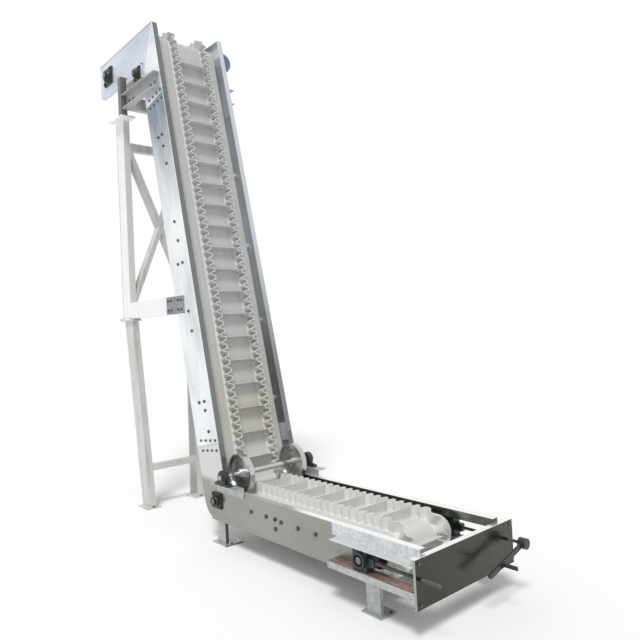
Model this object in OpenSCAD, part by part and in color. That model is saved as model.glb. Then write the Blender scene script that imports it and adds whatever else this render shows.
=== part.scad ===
// Sidewall belt conveyor: level loading run, bend, steep riser and level head run.
// Built from sheet-metal side plates, a cleated belt with sidewalls, take-up tail and a rear frame.
// x runs along the loading run, y across the belt, z up; the origin is on the floor.

/* [Overall] */
// room from the belt's edge to the outer face of a side plate
side_room = 75; // [70:1:150]
// height of the head's top edge above the floor
head_top = 4511; // [3600:10:5200]
// angle of the riser above the floor
riser_deg = 78; // [74:0.5:82]
// length from the bend to the end plate
loading_len = 1740; // [1600:10:2300]
// length of the head run, from the top front corner to its rear end
head_len = 1160; // [1100:10:1500]

/* [Side plates] */
// thickness of the sheet
sheet_t = 3; // [2:0.5:4]
// depth of the folded rims
rim = 45; // [35:1:50]
// height of the loading run's plates
load_h = 268; // [250:2:320]
// underside of the loading run above the floor
load_z = 192; // [170:2:260]
// depth of the riser's plates
riser_d = 324; // [310:2:380]
// height of the head's plates
head_h = 342; // [330:2:400]
// round outer corner of the bend
bend_r = 160; // [120:5:180]

/* [Belt] */
// width of the belt
belt_w = 600; // [500:5:800]
// thickness of the belt
belt_t = 8; // [6:1:12]
// height of the sidewalls
wall_h = 75; // [60:1:80]
// middle of a sidewall from the belt's edge
wall_inset = 135; // [125:1:150]
// width of the sidewall's waves
wave_w = 58; // [44:2:64]
// distance between cleats
cleat_pitch = 200; // [150:10:300]
// radius of the tail and head drums
drum_r = 85; // [75:1:95]
// radius of the belt's face around the bend's outer drum
corner_r = 118; // [105:1:120]
// radius of the belt's face at the top bend
top_r = 114; // [100:1:116]

/* [Hold-down wheels] */
// radius of the wheels at the bend
wheel_r = 150; // [130:1:160]
// middle of a wheel from the belt's edge
wheel_inset = 38; // [30:1:50]
// width of a wheel
wheel_w = 44; // [36:1:50]
// radius of the wheel shaft
shaft_r = 17.5; // [15:0.5:22]
// radius of the wheels at the inner corner of the head
snub_r = 120; // [100:1:130]

/* [Take-up] */
// reach of the take-up guides beyond the side plates
guide_y = 90; // [80:1:100]
// radius of the take-up screws
screw_r = 10; // [8:0.5:12]
// reach of the screws beyond the end plate
screw_out = 120; // [100:5:160]
// length of the tensioning lever
lever_len = 384; // [250:2:400]

/* [Rear frame] */
// depth of the channel section along x
post_x = 160; // [140:5:200]
// flange width of the channel section
post_y = 65; // [50:1:75]
// wall of the channel section
post_t = 8; // [6:1:10]
// height of the joint between legs and posts
joint_z = 1828; // [1600:10:2100]
// length of the stubs that hang from the head
stub_len = 374; // [260:2:600]

/* [Hidden] */
$fn = 48;

sa = sin(riser_deg);
ca = cos(riser_deg);
ta = tan(riser_deg);
// width over the outer faces of the side plates
plate_span = belt_w + 2 * side_room;
half = plate_span / 2;
inner = half - sheet_t;
wall_y = belt_w / 2 - wall_inset;
wheel_y = belt_w / 2 - wheel_inset;
gap = 0.3;
run = 0.05;

// heights of the loading run
load_top = load_z + load_h;
// front line of the riser: it meets the floor at front_x
front_x = 380;
end_x = front_x + loading_len;
head_front_x = front_x - head_top / ta;
head_end_x = head_front_x - head_len;
head_z = head_top - head_h;

// belt faces
band_r = drum_r + belt_t;
face_z = load_top - 42;
tail_z = face_z - band_r;
tail_x = end_x - 376;
face_e = -70;
back_e = face_e - 2 * band_r;
head_face_z = head_top - wall_h;
drum_z = head_face_z - band_r;
drum_x = head_end_x + 195;

// anchor holes of the feet; the origin is at the middle of the four
foot_x = 150;
foot_hole_y = half - 75;
bend_hole_x = foot_x + 72;
tail_foot_x = tail_x + 23;
tail_hole_x = tail_foot_x + 62;
origin_x = (bend_hole_x + tail_hole_x) / 2;

// a point at distance e in front of the riser's front line, at height z
function at_e(e, z) = [front_x + (e - z * ca) / sa, z];
// unit vectors across and along the riser
across = [sa, ca];
along = [-ca, sa];

wheel_c = at_e(face_e + wheel_r, face_z + wheel_r);
snub_c = at_e(back_e - snub_r, drum_z - band_r - snub_r);
corner_c = at_e(back_e + corner_r, tail_z - band_r + corner_r);
top_c = at_e(face_e - top_r, head_face_z - top_r);

// seams of the side plates, given on the front line
seam_low_z = 800;
seam_low = at_e(0, seam_low_z);
seam_high = at_e(0, head_top - 690);

steel = [0.72, 0.74, 0.77];
galv = [0.62, 0.64, 0.66];
dark = [0.16, 0.20, 0.19];
white = [0.86, 0.86, 0.84];

module place() { translate([-origin_x, 0, 0]) children(); }
// draws a shape given in the x-z plane from y0 to y1
module slab(y0, y1) { translate([0, y1, 0]) rotate([90, 0, 0]) linear_extrude(y1 - y0) children(); }
// a round bar across the belt, at p in the x-z plane
module bar(p, r, y0, y1, fn = 48) {
  translate([p[0], y0, p[1]]) rotate([-90, 0, 0]) cylinder(r = r, h = y1 - y0, $fn = fn);
}
module both() { children(); mirror([0, 1, 0]) children(); }
// puts a piece at p, turned so that its x runs across the riser
module on_riser(p) { translate([p[0], 0, p[1]]) rotate([0, -(90 - riser_deg), 0]) children(); }

// side plates and their splices
function load_pts(i, over) = [
  at_e(-riser_d + i, load_z + i), [end_x + over, load_z + i], [end_x + over, load_top - i],
  at_e(-i, load_top - i), seam_low - i * across + over * along,
  seam_low - (riser_d - i) * across + over * along
];
function riser_pts(i, over) = [
  seam_low - i * across - over * along, seam_high - i * across + over * along,
  seam_high - (riser_d - i) * across + over * along, seam_low - (riser_d - i) * across - over * along
];
function head_pts(i) = [
  seam_high - i * across - (i > 0 ? 1 : 0) * along, at_e(-i, head_top - i),
  [head_end_x + i, head_top - i], [head_end_x + i, head_z + i],
  at_e(-riser_d + i, head_z + i), seam_high - (riser_d - i) * across - (i > 0 ? 1 : 0) * along
];

module load_shape(i) {
  c = at_e(-riser_d + bend_r, load_z + bend_r);
  over = i > 0 ? 1 : 0;
  difference() {
    polygon(load_pts(i, over));
    polygon([c, c - bend_r * across, at_e(-riser_d - 9, load_z - 9), [c[0], load_z - 9]]);
  }
  translate(c) circle(r = bend_r - i);
}
module loading_plate() {
  color(steel) difference() {
    slab(-half, -half + sheet_t + rim) load_shape(0);
    slab(-inner, 0) load_shape(sheet_t);
    // slot of the take-up block, and the shaft hole of the bend drum
    slab(-half - 1, -inner + 1) translate([tail_x - 105, slot_z0]) square([440, slot_z1 - slot_z0]);
    bar(corner_c, 24, -half - 1, -inner + 1);
  }
}
module riser_plate() {
  color(steel) difference() {
    slab(-half, -half + sheet_t + rim) polygon(riser_pts(0, 0));
    slab(-inner, 0) polygon(riser_pts(sheet_t, 1));
  }
}
module head_plate() {
  color(steel) difference() {
    slab(-half, -half + sheet_t + rim) polygon(head_pts(0));
    slab(-inner, 0) polygon(head_pts(sheet_t));
    bar([drum_x, drum_z], 30, -half - 1, -inner + 1);
  }
}
// strips behind the seams, inside the plates
module splice_plates() {
  color(steel) both() for (p = [seam_low, seam_high])
    on_riser(p) translate([-riser_d + 25, -inner, -75]) cube([riser_d - 50, 5, 150]);
}

// tubes that hold the two sides apart, between the belt's two runs
tie_mid_e = (face_e + back_e) / 2;
tie_points = concat(
  [for (k = [0.36, 0.64]) [foot_x + k * loading_len, (face_z + tail_z - band_r) / 2]],
  [for (k = [0.086 : 0.23 : 0.78]) at_e(tie_mid_e, seam_low[1] + k * (seam_high[1] - seam_low[1]))],
  [[(top_c[0] + drum_x) / 2, drum_z]]
);
module cross_ties() {
  color(galv) for (p = tie_points) bar(p, 30, -inner, inner);
}

// end plate and guides of the tail
end_half = half + guide_y + 4;
end_z0 = load_z - 16;
end_z1 = load_top - 22;
slot_z0 = tail_z - 64;
slot_z1 = tail_z + 64;
screw_y = half + 45;
end_rim = 35;
side_rim = 12;
module end_plate() {
  t = 4;
  color(steel) difference() {
    translate([end_x, -end_half, end_z0]) cube([end_rim + t, 2 * end_half, end_z1 - end_z0]);
    translate([end_x - 1, -end_half + t, end_z0 + t])
      cube([end_rim + 1, 2 * (end_half - t), end_z1 - end_z0 - 2 * t]);
    // the rims at the sides are narrower than those at the top and bottom
    translate([end_x - 1, -end_half - 1, end_z0 + t])
      cube([end_rim - side_rim + 1, 2 * end_half + 2, end_z1 - end_z0 - 2 * t]);
    for (s = [-1, 1]) translate([end_x + 20, s * screw_y, tail_z]) rotate([0, 90, 0])
      cylinder(r = screw_r + run, h = 40);
  }
}
// angles outside the plates: web on the plate, foot turned out over the block
module upper_guides() {
  x0 = tail_x - 289;
  color(galv) both() {
    translate([x0, -half - 6, slot_z1]) cube([end_x - x0, 6, load_top - slot_z1]);
    translate([x0 + 60, -half - guide_y, slot_z1]) cube([end_x + end_rim - x0 - 60, guide_y - 6, 6]);
  }
}
module lower_guides() {
  x0 = tail_x - 254;
  color(galv) both() {
    translate([x0, -half - guide_y, slot_z0 - 6]) cube([end_x - x0, guide_y, 6]);
    translate([x0, -half - guide_y, slot_z0 - 40]) cube([end_x + end_rim - x0, 6, 40]);
    translate([x0, -half - 6, slot_z0 - 40]) cube([end_x - x0, 6, 34]);
  }
}

// feet under the loading run
// a folded post with its web outside, between a top plate and a base plate
module foot(x, y_out, y_in, web_y, bx, hole_x) {
  t = 10;
  w = 104;
  difference() {
    translate([x - bx / 2, -y_out, 0]) cube([bx, y_out - y_in, t]);
    translate([hole_x, -foot_hole_y, -1]) cylinder(r = 7, h = t + 2);
  }
  difference() {
    translate([x - w / 2, -web_y, t]) cube([w, 28, load_z - 2 * t]);
    translate([x - w / 2 + 5, -web_y + 5, t - 1]) cube([w - 10, 28, load_z]);
  }
  translate([x - bx / 2 + 5, -y_out, load_z - t]) cube([bx - 10, y_out - y_in, t]);
}
module bend_feet() { color(galv) both() foot(foot_x, half - 7, half - 175, half - 35, 184, bend_hole_x); }
module tail_feet() { color(galv) both() foot(tail_foot_x, half + 25, half - 109, half + 1, 154, tail_hole_x); }

// hold-down wheels at the bend
shaft_y = half + 100;
bearing_foot_z = wheel_c[1] - 62;
// level angles on the outside of the plates, under the bearings
module wheel_brackets() {
  x0 = wheel_c[0] - 155;
  web_z = load_top - 32;
  color(steel) both() {
    translate([x0, -half - 82, bearing_foot_z - 8]) cube([340, 82, 8]);
    translate([x0, -half - 8, web_z]) cube([340, 8, bearing_foot_z - 8 - web_z]);
  }
}
module wheel_bearings() {
  color(dark) both() translate([wheel_c[0], 0, wheel_c[1]]) difference() {
    union() {
      translate([-92, -half - 78, -62]) cube([184, 48, 18]);
      translate([-44, -half - 75, -44]) cube([88, 42, 44]);
      translate([0, -half - 88, 0]) rotate([-90, 0, 0]) cylinder(r = 52, h = 60);
    }
    translate([0, -half - 90, 0]) rotate([-90, 0, 0]) cylinder(r = shaft_r + run, h = 70);
  }
}
module hold_down_wheels() {
  color(steel) difference() {
    union() {
      bar(wheel_c, shaft_r, -shaft_y + 10, shaft_y - 10);
      // spacer tube between the wheels
      bar(wheel_c, shaft_r + 6, -wheel_y + 30, wheel_y - 30);
      both() {
        bar(wheel_c, wheel_r - gap, -wheel_y - wheel_w / 2, -wheel_y + wheel_w / 2, 96);
        bar(wheel_c, 38, -wheel_y - 34, -wheel_y + 34);
      }
    }
    // dished faces
    for (s = [-1, 1]) for (k = [0, 1]) difference() {
      bar(wheel_c, wheel_r - 14, s * wheel_y + (k == 0 ? -wheel_w / 2 - 1 : 8),
          s * wheel_y + (k == 0 ? -8 : wheel_w / 2 + 1), 96);
      bar(wheel_c, 38, s * wheel_y - 40, s * wheel_y + 40);
    }
  }
}

// flange bearings
module flange_bearing(p, r, size) {
  color(dark) difference() {
    union() {
      translate([p[0] - size / 2, -half - 14, p[1] - size / 2]) cube([size, 14, size]);
      bar(p, size * 0.36, -half - 40, -half - 14);
      bar(p, size * 0.28, -half - 52, -half - 40);
    }
    bar(p, r, -half - 60, -half + 1);
  }
}
module corner_bearings() { both() flange_bearing(corner_c, 22, 124); }
module head_bearings() { flange_bearing([drum_x, drum_z], 28, 176); }
module snub_brackets() {
  color(steel) both() translate([snub_c[0], -half - 8, snub_c[1]])
    difference() {
      translate([-76, 0, -76]) cube([166, 8, 152]);
      rotate([-90, 0, 0]) translate([0, 0, -1]) cylinder(r = 24, h = 10);
    }
}
module snub_bearings() { both() translate([0, -8, 0]) flange_bearing(snub_c, 20, 126); }

// drums and wheels inside the loop
module head_drum() {
  color(steel) {
    bar([drum_x, drum_z], drum_r - gap, -belt_w / 2 - 10, belt_w / 2 + 10, 96);
    bar([drum_x, drum_z], 28, -half - 56, half + 150);
  }
}
module bend_drums() {
  color(steel) {
    bar(corner_c, corner_r - belt_t - gap, -belt_w / 2 - 10, belt_w / 2 + 10, 96);
    bar(corner_c, 22, -half - 48, half + 48);
    bar(top_c, top_r - belt_t - gap, -belt_w / 2 - 10, belt_w / 2 + 10, 96);
    bar(top_c, 22, -inner, inner);
  }
}
module snub_wheels() {
  color(steel) {
    bar(snub_c, 20, -half - 56, half + 56);
    both() bar(snub_c, snub_r - gap, -wheel_y - 20, -wheel_y + 20, 96);
  }
}

// take-up carriage, screws and lever
block_in = half + 12;
block_out = half + guide_y - 14;
module take_up_blocks() {
  color(dark) both() difference() {
    union() {
      translate([tail_x - 52, -block_out, slot_z0 + gap])
        cube([104, block_out - block_in, slot_z1 - slot_z0 - 2 * gap]);
      translate([tail_x, -half - guide_y + 2, tail_z]) rotate([-90, 0, 0]) cylinder(r = 48, h = 20);
      translate([tail_x + 52, -screw_y - 19, tail_z - 24]) cube([46, 38, 48]);
    }
    bar([tail_x, tail_z], 22, -half - guide_y, -half);
    translate([tail_x + 58, -screw_y, tail_z]) rotate([0, 90, 0]) cylinder(r = screw_r + run, h = 60);
  }
}
module tail_drum() {
  color(steel) {
    bar([tail_x, tail_z], drum_r - gap, -belt_w / 2 - 10, belt_w / 2 + 10, 96);
    bar([tail_x, tail_z], 22, -half - guide_y + 4, half + guide_y - 4);
  }
}
module screw() {
  translate([tail_x + 58.3, -screw_y, tail_z]) rotate([0, 90, 0])
    cylinder(r = screw_r, h = end_x + end_rim + 4 + screw_out - tail_x - 58.3);
}
module near_screw() { color(steel) screw(); }
module far_screw() { color(steel) mirror([0, 1, 0]) screw(); }
// hub, flat arm and grip on the far screw
module tension_lever() {
  hub_x = end_x + end_rim + 4 + screw_out - 46;
  color(dark) translate([hub_x, screw_y, tail_z]) rotate([180 + 14.5, 0, 0]) {
    rotate([0, 90, 0]) difference() {
      cylinder(r = 32, h = 46);
      translate([0, 0, -1]) cylinder(r = screw_r, h = 48);
    }
    translate([14, 28, -15]) cube([12, lever_len - 43, 30]);
    translate([14, lever_len - 15, 0]) rotate([0, 90, 0]) cylinder(r = 15, h = 12);
    translate([26, lever_len * 0.62, -12]) cube([6, 24, 24]);
    translate([26, lever_len * 0.62, -12]) cube([88, 8, 24]);
  }
}

// rear frame
post_front_x = snub_c[0] - 367.6;
post_back_x = post_front_x - post_x;
stub_x = post_front_x + 45;
stub_w = 60;
stub_d = 64;
stub_z = head_z + 20 - stub_len;
// a channel with its web outside, drawn from z0 to z1
module post_profile() {
  difference() {
    square([post_x, post_y]);
    translate([post_t, post_t]) square([post_x - 2 * post_t, post_y]);
  }
}
module upper_posts() {
  color(white) both() {
    translate([post_back_x, -half, joint_z + 12]) linear_extrude(stub_z - joint_z - 24) post_profile();
    translate([post_back_x - 30, -half - 25, joint_z]) cube([post_x + 60, post_y + 50, 12]);
    translate([post_back_x - 10, -half - stub_d - 6, stub_z - 12])
      cube([stub_x + stub_w + 25 - post_back_x, stub_d + 6 + post_y + 10, 12]);
  }
}
// legs lean in towards the floor, with base plates
leg_h = joint_z - 24;
base_x = post_back_x + post_x / 2 + 108;
base_y = half - post_y / 2 - 75;
module leaning() {
  dx = 78;
  dy = 75;
  translate([post_back_x + post_x / 2 + 30, -half + post_y / 2, joint_z - 12])
    rotate([atan(dy / leg_h), -atan(dx / leg_h), 0])
      translate([-post_x / 2, -post_y / 2, -leg_h - 40]) children();
}
module rear_legs() {
  color(white) both() {
    intersection() {
      leaning() linear_extrude(leg_h + 80) post_profile();
      translate([post_back_x - post_x, -half - 300, 12]) cube([4 * post_x, 600, leg_h]);
    }
    translate([post_back_x - 12, -half - 25, joint_z - 12]) cube([post_x + 60, post_y + 50, 12]);
    difference() {
      translate([base_x - 98, -base_y - 76, 0]) cube([196, 152, 12]);
      for (x = [-1, 1]) translate([base_x + x * 84, -base_y, -1]) cylinder(r = 9, h = 14);
    }
  }
}

module channel_x(x0, x1, z0, h, y_back, d, t, open_out) {
  translate([x0, 0, z0]) difference() {
    translate([0, -y_back - (open_out ? d : 0), 0]) cube([x1 - x0, d, h]);
    translate([-1, -y_back - (open_out ? d + 1 : -t), t]) cube([x1 - x0 + 2, d - t + 1, h - 2 * t]);
  }
}
tie_z = joint_z + 12;
module tie_beams() {
  // web flush with the side plate's outer face, cut along the riser's rear edge
  color(white) both() difference() {
    channel_x(post_front_x, at_e(-riser_d, tie_z)[0] + 42, tie_z, 155, half, post_y, 7, false);
    slab(-half - 1, 0) polygon([
      at_e(-riser_d, tie_z - 60), at_e(-riser_d, tie_z + 240), at_e(0, tie_z + 240), at_e(0, tie_z - 60)
    ]);
  }
}
module gusset_plates() {
  x0 = at_e(-riser_d, tie_z + 77)[0] - 156;
  color(galv) both() translate([x0, -half - 8, tie_z + 2]) cube([289, 8, 150]);
}
head_beam_h = 140;
head_beam_z = head_z - head_beam_h - 159;
module head_beams() {
  x1 = at_e(-22, head_beam_z + head_beam_h / 2)[0];
  color(white) both() channel_x(stub_x + stub_w, x1, head_beam_z, head_beam_h, half, 62, 7, true);
}
module head_stubs() {
  color(white) both() translate([stub_x, -half - stub_d, stub_z]) cube([stub_w, stub_d, stub_len]);
}
top_tie_z = stub_z - 307;
module frame_beams() {
  low_tie_z = joint_z * 0.195;
  color(white) {
    translate([stub_x, -half, stub_z + 76]) cube([stub_w, plate_span, 120]);
    translate([post_front_x - 60, -half + post_y, top_tie_z]) cube([60, plate_span - 2 * post_y, 76]);
    difference() {
      translate([base_x + 15, -base_y, low_tie_z]) cube([50, 2 * base_y, 62]);
      both() leaning() cube([post_x, post_y, leg_h + 80]);
    }
  }
}
// two crossed bars between the posts, welded where they cross
brace_d = 100;
module x_brace() {
  z0 = tie_z + 190;
  z1 = top_tie_z - 8;
  w = plate_span - 2 * post_y;
  a = atan((z1 - z0) / w);
  color(white) intersection() {
    union() for (s = [-1, 1]) translate([post_front_x - brace_d, 0, (z0 + z1) / 2])
      rotate([s * a, 0, 0]) translate([0, -1200, -22]) cube([brace_d, 2400, 44]);
    translate([post_front_x - brace_d, -w / 2, z0 - 60]) cube([brace_d, w, z1 - z0 + 68]);
  }
}

// drive on the far side
motor_z = drum_z + 40;
motor_y = half + 108;
module gear_unit() {
  color([0.30, 0.36, 0.62]) difference() {
    union() {
      translate([drum_x - 130, half + 6, drum_z - 125]) cube([260, 150, 270]);
      translate([drum_x + 130, motor_y, motor_z]) rotate([0, 90, 0]) cylinder(r = 88, h = 110);
      bar([drum_x, drum_z], 55, half, half + 6);
    }
    bar([drum_x, drum_z], 28, half - 1, half + 200);
  }
}
module motor() {
  x0 = drum_x + 240;
  color([0.38, 0.40, 0.70]) translate([x0, motor_y, motor_z]) rotate([0, 90, 0]) {
    cylinder(r = 100, h = 16);
    translate([0, 0, 16]) cylinder(r = 84, h = 430);
    translate([0, 0, 446]) cylinder(r = 98, h = 150);
  }
  color([0.38, 0.40, 0.70]) translate([x0 + 90, motor_y - 55, motor_z + 70]) cube([120, 110, 52]);
}

// belt, sidewalls and cleats
// the arc a band takes around a wheel at c, as flats that touch the circle of radius r
function wrap(c, r, a0, a1) = let(n = ceil(abs(a1 - a0) / 7.5), step = (a1 - a0) / n) [
  for (i = [0 : n - 1]) c + r / cos(step / 2) * [cos(a0 + (i + 0.5) * step), sin(a0 + (i + 0.5) * step)]
];
// the closed line at offset o from the belt's inner face
function loop_line(o) = concat(
  wrap([tail_x, tail_z], drum_r + o, -90, 90),
  wrap(wheel_c, wheel_r + belt_t - o, -90, -90 - riser_deg),
  wrap(top_c, top_r - belt_t + o, 90 - riser_deg, 90),
  wrap([drum_x, drum_z], drum_r + o, 90, 270),
  wrap(snub_c, snub_r + belt_t - o, 90, 90 - riser_deg),
  wrap(corner_c, corner_r - belt_t + o, 270 - riser_deg, 270)
);
module loop_band(lo, hi, y0, y1) {
  slab(y0, y1) difference() {
    polygon(loop_line(hi));
    polygon(loop_line(lo));
  }
}
module belt() { color(white) loop_band(0, belt_t, -belt_w / 2, belt_w / 2); }
module sidewalls() {
  color(white) both() {
    loop_band(belt_t, belt_t + 4, wall_y - wave_w / 2, wall_y + wave_w / 2);
    loop_band(belt_t + 4, belt_t + wall_h, wall_y - 3, wall_y + 3);
  }
}
// upright cleats between the sidewalls, on every run
cleat_y = wall_y - wave_w / 2;
module cleat(p, a) {
  seat = 0.01;
  translate([p[0], -cleat_y, p[1]]) rotate([0, -a, 0]) {
    translate([-12, 0, seat]) cube([24, 2 * cleat_y, 5]);
    translate([-3, 0, 5]) cube([6, 2 * cleat_y, wall_h - 15]);
  }
}
function steps(d) = [for (s = [cleat_pitch / 2 : cleat_pitch : d - 30]) s];
module cleat_run(p, q, a) {
  d = q - p;
  for (s = steps(norm(d))) cleat(p + d * s / norm(d), a);
}
module cleats() {
  color(white) {
    cleat_run([tail_x, face_z], [wheel_c[0], face_z], 0);
    cleat_run(wheel_c - wheel_r * across, top_c + top_r * across, -riser_deg);
    cleat_run([top_c[0], head_face_z], [drum_x, head_face_z], 0);
    cleat_run([drum_x, drum_z - band_r], [snub_c[0], drum_z - band_r], 180);
    cleat_run(snub_c + snub_r * across, corner_c - corner_r * across, 180 - riser_deg);
    cleat_run([corner_c[0], tail_z - band_r], [tail_x, tail_z - band_r], 180);
    difference() {
      for (a = [-50, 10]) cleat([tail_x, tail_z] + (band_r - 1) * [cos(a), sin(a)], a - 90);
      slab(-belt_w, belt_w) polygon(loop_line(belt_t));
    }
  }
}

place() loading_plate();  // near_loading_plate
place() mirror([0, 1, 0]) loading_plate();  // far_loading_plate
place() riser_plate();  // near_riser_plate
place() mirror([0, 1, 0]) riser_plate();  // far_riser_plate
place() head_plate();  // near_head_plate
place() mirror([0, 1, 0]) head_plate();  // far_head_plate
place() splice_plates();
place() cross_ties();
place() end_plate();
place() upper_guides();
place() lower_guides();
place() bend_feet();
place() tail_feet();
place() wheel_brackets();
place() wheel_bearings();
place() corner_bearings();
place() snub_bearings();
place() snub_brackets();
place() head_bearings();
place() head_beams();
place() head_stubs();
place() upper_posts();
place() tie_beams();
place() gusset_plates();
place() rear_legs();
place() frame_beams();
place() x_brace();
place() gear_unit();
place() motor();
place() belt();
place() sidewalls();
place() cleats();
place() head_drum();
place() bend_drums();
place() snub_wheels();
place() take_up_blocks();
place() tail_drum();
place() near_screw();
place() far_screw();
place() tension_lever();
place() hold_down_wheels();
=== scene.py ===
# %% [markdown]
# # A steep sidewall belt conveyor
# This conveyor lifts loose goods almost straight up. A level run takes the goods in, a bend turns the
# belt uphill, a riser carries it at 78 degrees, and a level head run lets the goods go.
# The solids come from a CAD model, in metres. Here they get their finishes, and the parts that a CAD
# model leaves plain, such as waves, threads and bolts, are modelled on top.

# %% Load the solids
from math import cos, pi, radians, sin
import bpy
import bmesh
from mathutils import Matrix, Vector


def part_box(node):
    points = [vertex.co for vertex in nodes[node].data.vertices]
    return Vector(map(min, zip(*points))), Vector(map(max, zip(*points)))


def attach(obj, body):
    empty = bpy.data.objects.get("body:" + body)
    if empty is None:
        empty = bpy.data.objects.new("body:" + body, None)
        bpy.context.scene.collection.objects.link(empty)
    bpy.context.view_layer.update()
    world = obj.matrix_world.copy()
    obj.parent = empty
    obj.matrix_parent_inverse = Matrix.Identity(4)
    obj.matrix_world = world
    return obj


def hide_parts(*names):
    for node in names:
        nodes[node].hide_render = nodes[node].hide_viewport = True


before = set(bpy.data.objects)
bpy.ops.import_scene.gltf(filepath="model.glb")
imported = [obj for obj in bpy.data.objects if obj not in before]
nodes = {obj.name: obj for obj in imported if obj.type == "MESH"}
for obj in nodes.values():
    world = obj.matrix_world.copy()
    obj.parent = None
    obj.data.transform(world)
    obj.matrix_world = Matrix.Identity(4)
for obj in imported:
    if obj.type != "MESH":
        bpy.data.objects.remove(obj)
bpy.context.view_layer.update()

# %% [markdown]
# ## The camera
# A camera is placed before anything is made, so that every later look is from the same spot. The
# photographer stood at eye height beside the tail end. The view is turned with a matrix whose columns
# are the camera's right, its up and the direction behind it. The small shift keeps uprights upright.

# %% Camera
right = Vector((0.619994, 0.783145, -0.047867))
ahead = Vector((-0.782583, 0.621621, 0.033912))
up = right.cross(ahead)
eye = bpy.data.cameras.new("eye")
eye.lens, eye.sensor_width = 33.93, 36.0
eye.shift_x, eye.shift_y = 0.0785, -0.0174
camera = bpy.data.objects.new("eye", eye)
eye_spot = Matrix.Translation((3.18507, -2.97603, 1.67025))
camera.matrix_world = eye_spot @ Matrix((right, up, -ahead)).transposed().to_4x4()
bpy.context.scene.collection.objects.link(camera)
bpy.context.scene.camera = camera
print("camera height", round(camera.matrix_world.translation.z, 2))

# %% [markdown]
# ## Writing shaders as sums
# A node tree is easier to read as a sum than as a list of links. The class below holds one output
# socket, and each operator adds the Math node that does its work. Colours and vectors don't go through
# Math nodes, because those keep only one number.

# %% A socket that can be added and multiplied
class Value:
    def __init__(self, finish, socket):
        self.finish, self.socket = finish, socket

    def math(self, operation, first, second=None):
        inputs = {0: first} if second is None else {0: first, 1: second}
        return self.finish.node("Math", {"operation": operation}, inputs)

    def __add__(self, other):
        return self.math("ADD", self, other)

    def __radd__(self, other):
        return self.math("ADD", other, self)

    def __sub__(self, other):
        return self.math("SUBTRACT", self, other)

    def __rsub__(self, other):
        return self.math("SUBTRACT", other, self)

    def __mul__(self, other):
        return self.math("MULTIPLY", self, other)

    def __rmul__(self, other):
        return self.math("MULTIPLY", other, self)

    def above(self, level, blur):
        """0 below the level and 1 above it, with a soft edge."""
        return self.finish.node("MapRange", {"interpolation_type": "SMOOTHSTEP"},
                                {"Value": self, "From Min": level - blur, "From Max": level + blur})


# %% A finish
class Finish:
    """One material, made node by node."""

    def __init__(self, name, metallic=0.0, roughness=0.5, **constants):
        self.material = bpy.data.materials.new(name)
        self.material.use_nodes = True
        self.tree = self.material.node_tree
        self.shader = self.tree.nodes["Principled BSDF"]
        self.shader.inputs["Metallic"].default_value = metallic
        self.shader.inputs["Roughness"].default_value = roughness
        for socket, value in constants.items():
            self.shader.inputs[socket.replace("_", " ")].default_value = value

    def put(self, socket, value):
        if isinstance(value, Value):
            self.tree.links.new(value.socket, socket)
        else:
            socket.default_value = value

    def node(self, kind, settings=None, inputs=None, out=0):
        made = self.tree.nodes.new("ShaderNode" + kind)
        for name, value in (settings or {}).items():
            if name == "stops":
                ramp = made.color_ramp
                while len(ramp.elements) < len(value):
                    ramp.elements.new(0.5)
                for element, (position, colour) in zip(ramp.elements, value):
                    element.position, element.color = position, colour
            else:
                setattr(made, name, value)
        for name, value in (inputs or {}).items():
            self.put(made.inputs[name], value)
        return Value(self, made.outputs[out])

    def place(self, turn=(0, 0, 0), scale=(1, 1, 1)):
        """Object coordinates, turned and then scaled."""
        spot = self.node("TexCoord", out="Object")
        turned = self.node("Mapping", {"vector_type": "TEXTURE"}, {"Vector": spot, "Rotation": turn})
        return self.node("VectorMath", {"operation": "MULTIPLY"}, {0: turned, 1: scale})

    def along(self, axis):
        """The object coordinate x, y or z."""
        return self.node("SeparateXYZ", None, {0: self.node("TexCoord", out="Object")}, out=axis)

    def facing(self, axis):
        return self.node("SeparateXYZ", None, {0: self.node("NewGeometry", out="Normal")}, out=axis)

    def noise(self, vector, scale, detail=4.0, rough=0.55):
        return self.node("TexNoise", None,
                         {"Vector": vector, "Scale": scale, "Detail": detail, "Roughness": rough})

    def mix(self, factor, a, b):
        made = self.tree.nodes.new("ShaderNodeMix")
        made.data_type = "RGBA"
        self.put(made.inputs[0], factor)
        self.put(made.inputs[6], a)
        self.put(made.inputs[7], b)
        return Value(self, made.outputs[2])

    def finish(self, colour, roughness=None, bump=None, depth=0.0005, strength=0.5):
        self.put(self.shader.inputs["Base Color"], colour)
        if roughness is not None:
            self.put(self.shader.inputs["Roughness"], roughness)
        if bump is not None:
            raised = self.node("Bump", None, {"Height": bump, "Strength": strength, "Distance": depth})
            self.put(self.shader.inputs["Normal"], raised)
        return self.material


def linear(level):
    return level / 255 / 12.92 if level < 10 else ((level / 255 + 0.055) / 1.055) ** 2.4


def tone(r, g, b):
    """A colour as a screen shows it, 0 to 255, as the linear colour that shaders take."""
    return linear(r), linear(g), linear(b), 1.0


print("white paint is", [round(c, 2) for c in tone(235, 235, 230)])

# %% [markdown]
# ## Brushed sheet
# The side plates are folded stainless sheet. A belt sander runs along the length of each plate, so
# the grain is a noise stretched along the plate: fine across it, slow along it. Wide soft clouds
# stand for handling marks, and they change both the tone and the roughness. Facets are faces that
# point one way: the near front rims get painted shade, the far rims and top faces painted light.
# Bands and the low tone follow the height. A bright line along the front edge is a painted
# highlight. The near head plate is creased from its peak downwards; the crease gets a painted
# highlight, and behind it the sheet gets a bluer painted reflection.

# %% Sheet finishes
RISE = radians(78)
FRONT_SHIFT = 0.6314
HEAD_CREASE = (-0.92182, 0.38765, 3.22766)


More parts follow.
